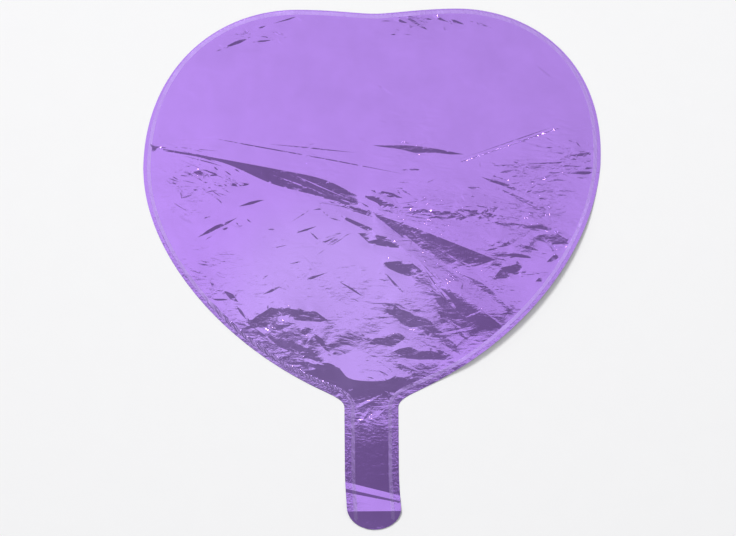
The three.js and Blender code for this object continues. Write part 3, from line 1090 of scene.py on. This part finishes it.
class BALLOON_OT_front_foil(bpy.types.Operator):
    """Make the front foil sheet with its folds, facets and short creases."""
    bl_idname = "balloon.front_foil"
    bl_label = "Front foil"

    def execute(self, context):
        sheet = context.scene.foil_sheets
        folds = context.scene.fold_settings
        half_weld = sheet.weld_width / 2
        near_weld = NearLine(weld_line(1.0))
        edge = balloon_edge(sheet.mesh_step)
        flange = np.array([near_weld.distance(x, y) for x, y in edge]) - half_weld
        droop = np.clip(FLANGE_DROOP * flange, 0.0, RIM_Z - CUT_EDGE_Z)
        film = CreasedSheet(edge, RIM_Z - droop, near_weld, sheet.mesh_step, folds.seed)
        for aside in (-half_weld, 0.0, half_weld):
            film.add_line([(x, y, RIM_Z) for x, y in weld_line(sheet.mesh_step, aside)])
        for points in FOLDS.values():
            raised = [(x, y, mix(RIM_Z, z, folds.fold_height)) for x, y, z in points]
            film.add_fold(raised, RIM_Z, half_weld + 1.0)
        film.add_net(long_step=34.0, cross_step=13.0, turn=-14.0,
                     swing=lambda x, y: net_swing(y, folds), weld_clear=half_weld + 3.0)
        side_x = TAIL_HALF_WIDTH - 0.5
        for (left_y, _), (right_y, _) in zip(tail_folds(-side_x), tail_folds(side_x)):
            ends = [(-side_x, left_y, 0.0), (side_x, right_y, 0.0)]
            film.add_line(film.keep_clear(spread_points(ends, sheet.mesh_step), 0.0), layer=film.net)
        self.add_facets(film, folds, half_weld + 2.0)
        self.add_crumples(film, folds, half_weld + 2.0)
        shell = film.build(BROAD_TILTS)
        self.wave(shell, near_weld, half_weld)
        material = foil_material("foil_front", tuple(sheet.foil_color))
        piece = finish_piece("front_foil", shell, material)
        note_weld_distance(piece)
        piece.data.set_sharp_from_angle(angle=math.radians(SHARP_ANGLE))
        sharpen_rim(piece)
        note_crinkles(piece)
        bend_at_neck(piece)
        give_thickness(piece, sheet.film_thickness, -1.0)
        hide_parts("front_panel", "tail_front_film")
        film_area()
        return {"FINISHED"}

    def add_facets(self, film, folds, clear):
        """Add the listed facets, the steep creases and the fans of thin creases."""
        for x, y, length, width, turn in SHADED_FACETS:
            film.add_facet(x, y, length, width, turn, folds.facet_slope + 0.0008 * y, clear)
        for x, y, length, width, turn in BRIGHT_FACETS:
            film.add_facet(x, y, length, width, turn, -0.5 * folds.bright_slope, clear)
        for x, y, length, width, turn in STEEP_CREASES:
            film.add_groove(x, y, length, width, turn, -folds.bright_slope, clear)
        for x, y, low_turn, high_turn, count in CREASE_FANS:
            self.add_fan(film, x, y, low_turn, high_turn, count, clear)

    def add_fan(self, film, x, y, low_turn, high_turn, count, clear):
        """Add thin creases that run out from one place."""
        for _ in range(count):
            turn = film.random.uniform(low_turn, high_turn)
            start = film.random.uniform(4.0, 40.0)
            length = film.random.uniform(18.0, 80.0)
            middle = start + length / 2
            far_x = x + middle * math.cos(math.radians(turn))
            far_y = y + middle * math.sin(math.radians(turn)) + film.random.uniform(-4.0, 4.0)
            slope = film.random.choice((0.3, 0.3, -0.12))
            film.add_facet(far_x, far_y, length, film.random.uniform(1.1, 2.2), turn, slope, clear)

    def add_crumples(self, film, folds, clear):
        """Scatter short creases: most in the lower half, few on the smooth lobes."""
        chance = film.random
        placed = 0
        while placed < folds.crumple_count:
            x = chance.uniform(-HALF_WIDTH, HALF_WIDTH)
            y = chance.uniform(-HALF_LENGTH, HALF_LENGTH)
            density = mix(1.0, 0.12, smooth_share(y, 60.0, 130.0))
            if chance.random() > density or not film.keep_clear([(x, y)], clear):
                continue
            length = chance.uniform(5.0, 22.0)
            width = chance.uniform(1.2, 3.2)
            turn = chance.gauss(-12.0, 32.0)
            slope = chance.choice((1.0, 1.0, -1.0)) * chance.uniform(0.1, 0.28)
            film.add_facet(x, y, length, width, turn, slope, clear)
            placed += 1
        for middle_x, middle_y, reach, count in CREASE_CLUSTERS:
            for _ in range(count):
                x = middle_x + chance.uniform(-reach, reach)
                y = middle_y + 0.45 * chance.uniform(-reach, reach)
                turn = chance.gauss(-18.0, 22.0)
                slope = folds.facet_slope + 0.0006 * max(y, 0.0)
                film.add_facet(x, y, chance.uniform(4.0, 15.0), chance.uniform(1.2, 2.6), turn, slope, clear)

    def wave(self, shell, near_weld, half_weld):
        """Add the film's slack in long soft waves inside the weld, and lift the film as it lies."""
        for vert in shell.verts:
            x, y, z = vert.co
            gap = near_weld.distance(x, y)
            inside = smooth_share(gap, half_weld, 30.0) * smooth_share(y, -120.0, -60.0)
            slack = noise.noise(Vector((x / 75.0, y / 55.0, 3.0)))
            over_valve = abs(x) < VALVE_HALF_WIDTH + VALVE_MARGIN and y < VALVE_TOP_Y + VALVE_MARGIN
            lowest = VALVE_FRONT_Z + 0.3 if over_valve else CUT_EDGE_Z
            vert.co.z = max(z + SLACK_WAVE * slack * inside, lowest) + film_lift(x, y)


class BALLOON_OT_back_foil(bpy.types.Operator):
    """Make the back foil sheet: it lies lower, and follows the front's main folds a little."""
    bl_idname = "balloon.back_foil"
    bl_label = "Back foil"

    def execute(self, context):
        sheet = context.scene.foil_sheets
        near_weld = NearLine(weld_line(1.0))
        film = CreasedSheet(balloon_edge(BACK_EDGE_STEP), BACK_TOP_Z, near_weld, BACK_MESH_STEP, seed=3)
        for points in FOLDS.values():
            pressed = [(x, y, BACK_TOP_Z + BACK_FOLD_SHARE * z) for x, y, z in points]
            film.add_fold(pressed, BACK_TOP_Z, sheet.weld_width)
        shell = film.build()
        for vert in shell.verts:
            x, y, z = vert.co
            under_valve = abs(x) < VALVE_HALF_WIDTH + 3.0 and y < VALVE_TOP_Y + 3.0
            vert.co.z = (BACK_TOP_Z if under_valve else max(z, BACK_TOP_Z)) + film_lift(x, y)
        color = tuple(sheet.foil_color)
        piece = finish_piece("back_foil", shell, foil_material("foil_back", color))
        note_weld_distance(piece)
        note_crinkles(piece)
        sharpen_rim(piece)
        bend_at_neck(piece)
        give_thickness(piece, sheet.film_thickness, -1.0)
        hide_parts("back_panel", "tail_back_film")
        film_area()
        return {"FINISHED"}


class BALLOON_OT_edge_weld(bpy.types.Operator):
    """Make the fused strip between the sheets, round the heart and down both sides of the tail."""
    bl_idname = "balloon.edge_weld"
    bl_label = "Edge weld"

    def execute(self, context):
        half = context.scene.foil_sheets.weld_width / 2
        outer = weld_line(2.0, -half)
        shell = bmesh.new()
        verts = [shell.verts.new((x, y, WELD_Z[0])) for x, y in outer]
        edges = [shell.edges.new(pair) for pair in zip(verts, verts[1:])]
        widened = bmesh.ops.extrude_edge_only(shell, edges=edges)
        fresh = [item for item in widened["geom"] if isinstance(item, bmesh.types.BMVert)]
        inner = NearLine(weld_line(2.0, half))
        for vert in fresh:
            spot = inner.nearest(vert.co.x, vert.co.y)
            vert.co = (spot.x, spot.y, WELD_Z[0])
        bmesh.ops.remove_doubles(shell, verts=shell.verts, dist=0.05)
        for vert in shell.verts:
            vert.co.z += film_lift(vert.co.x, vert.co.y)
        bmesh.ops.recalc_face_normals(shell, faces=shell.faces)
        face_up(shell)
        piece = finish_piece("edge_weld", shell, weld_material())
        bend_at_neck(piece)
        give_thickness(piece, WELD_Z[1] - WELD_Z[0], 1.0)
        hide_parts("edge_seal", "tail_seal_left", "tail_seal_right")
        return {"FINISHED"}


class BALLOON_OT_valve(bpy.types.Operator):
    """Make the valve: two clear films, their side seams and the release print."""
    bl_idname = "balloon.valve"
    bl_label = "Valve"

    def execute(self, context):
        clear = clear_film_material("valve_clear_film", (0.86, 0.89, 0.91), 0.12)
        seam = clear_film_material("valve_clear_seam", (0.72, 0.77, 0.81), 0.3)
        for name, z in (("valve_back_sheet", VALVE_BACK_Z), ("valve_front_sheet", VALVE_FRONT_Z)):
            side = name.split("_")[1]
            piece = self.strip(name, -VALVE_HALF_WIDTH, VALVE_HALF_WIDTH, z, clear, "clear_film", 0.05)
            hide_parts(f"valve_{side}_film", f"valve_inlet_{side}_film")
        seam_width = (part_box("valve_seam_left")[1][0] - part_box("valve_seam_left")[0][0]) / MM
        for side, sign in (("left", -1), ("right", 1)):
            inner = sign * (VALVE_HALF_WIDTH - seam_width)
            low, high = sorted((inner, sign * VALVE_HALF_WIDTH * 0.995))
            thickness = VALVE_SEAM_Z[1] - VALVE_SEAM_Z[0]
            name = f"valve_side_seam_{side}"
            piece = self.strip(name, low, high, VALVE_SEAM_Z[1], seam, "clear_seam", thickness)
            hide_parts(f"valve_seam_{side}", f"valve_inlet_seam_{side}")
        self.release_print(seam_width)
        return {"FINISHED"}

    def strip(self, name, low_x, high_x, z, material, slot, thickness):
        """Make a long film with softly waving sides, from the tail's inlet up into the heart."""
        shell = bmesh.new()
        bmesh.ops.create_grid(shell, x_segments=4, y_segments=80, size=0.5)
        for vert in shell.verts:
            x = mix(low_x, high_x, vert.co.x + 0.5)
            y = mix(VALVE_END_Y, VALVE_TOP_Y, vert.co.y + 0.5)
            vert.co = (x + VALVE_SWAY * math.sin(y / 11.0), y, z + film_lift(x, y))
        piece = finish_piece(name, shell, material)
        bend_at_neck(piece)
        give_thickness(piece, thickness, -1.0)
        return piece

    def release_print(self, seam_width):
        """Make the print on the back film, from the neck up, with its corners rounded."""
        shell = bmesh.new()
        bmesh.ops.create_grid(shell, x_segments=12, y_segments=8, size=0.5)
        half = VALVE_HALF_WIDTH - seam_width - 0.5
        for vert in shell.verts:
            y = mix(NECK_Y + NECK_BEND + 1, PRINT_TOP_Y + NECK_BEND, vert.co.y + 0.5)
            vert.co = (2 * half * vert.co.x + VALVE_SWAY * math.sin(y / 11.0), y, VALVE_BACK_Z + 0.04)
        corners = [vert for vert in shell.verts if len(vert.link_edges) == 2]
        bmesh.ops.bevel(
            shell, geom=corners, offset=1.2, segments=3, profile=0.5, affect="VERTICES", material=-1)
        piece = finish_piece("release_print", shell, ink_material())
        give_thickness(piece, 0.02, -1.0)
        lean_over(piece)
        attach(piece, "heart")
        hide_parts("valve_release_print")


class BALLOON_PT_panel(bpy.types.Panel):
    """List every setting and operator in the sidebar."""
    bl_idname = "BALLOON_PT_panel"
    bl_label = "Foil Balloon"
    bl_space_type = "VIEW_3D"
    bl_region_type = "UI"
    bl_category = "Foil Balloon"

    def draw(self, context):
        for group in (context.scene.foil_sheets, context.scene.fold_settings, context.scene.stage_settings):
            for key in group.__annotations__:
                self.layout.prop(group, key)
        for operator in OPERATORS:
            self.layout.operator(operator.bl_idname)


SETTINGS = {"foil_sheets": FoilSheets, "fold_settings": FoldSettings, "stage_settings": StageSettings}
OPERATORS = (
    BALLOON_OT_stage, BALLOON_OT_back_foil, BALLOON_OT_edge_weld, BALLOON_OT_valve, BALLOON_OT_front_foil)


def register():
    for kind in (*SETTINGS.values(), *OPERATORS, BALLOON_PT_panel):
        bpy.utils.register_class(kind)
    for name, kind in SETTINGS.items():
        setattr(bpy.types.Scene, name, bpy.props.PointerProperty(type=kind))


def unregister():
    for name in SETTINGS:
        delattr(bpy.types.Scene, name)
    for kind in (BALLOON_PT_panel, *reversed(OPERATORS), *reversed(list(SETTINGS.values()))):
        bpy.utils.unregister_class(kind)


def main():
    register()
    bpy.ops.balloon.stage()
    bpy.ops.balloon.back_foil()
    bpy.ops.balloon.edge_weld()
    bpy.ops.balloon.valve()
    bpy.ops.balloon.front_foil()


if __name__ == "__main__":
    main()
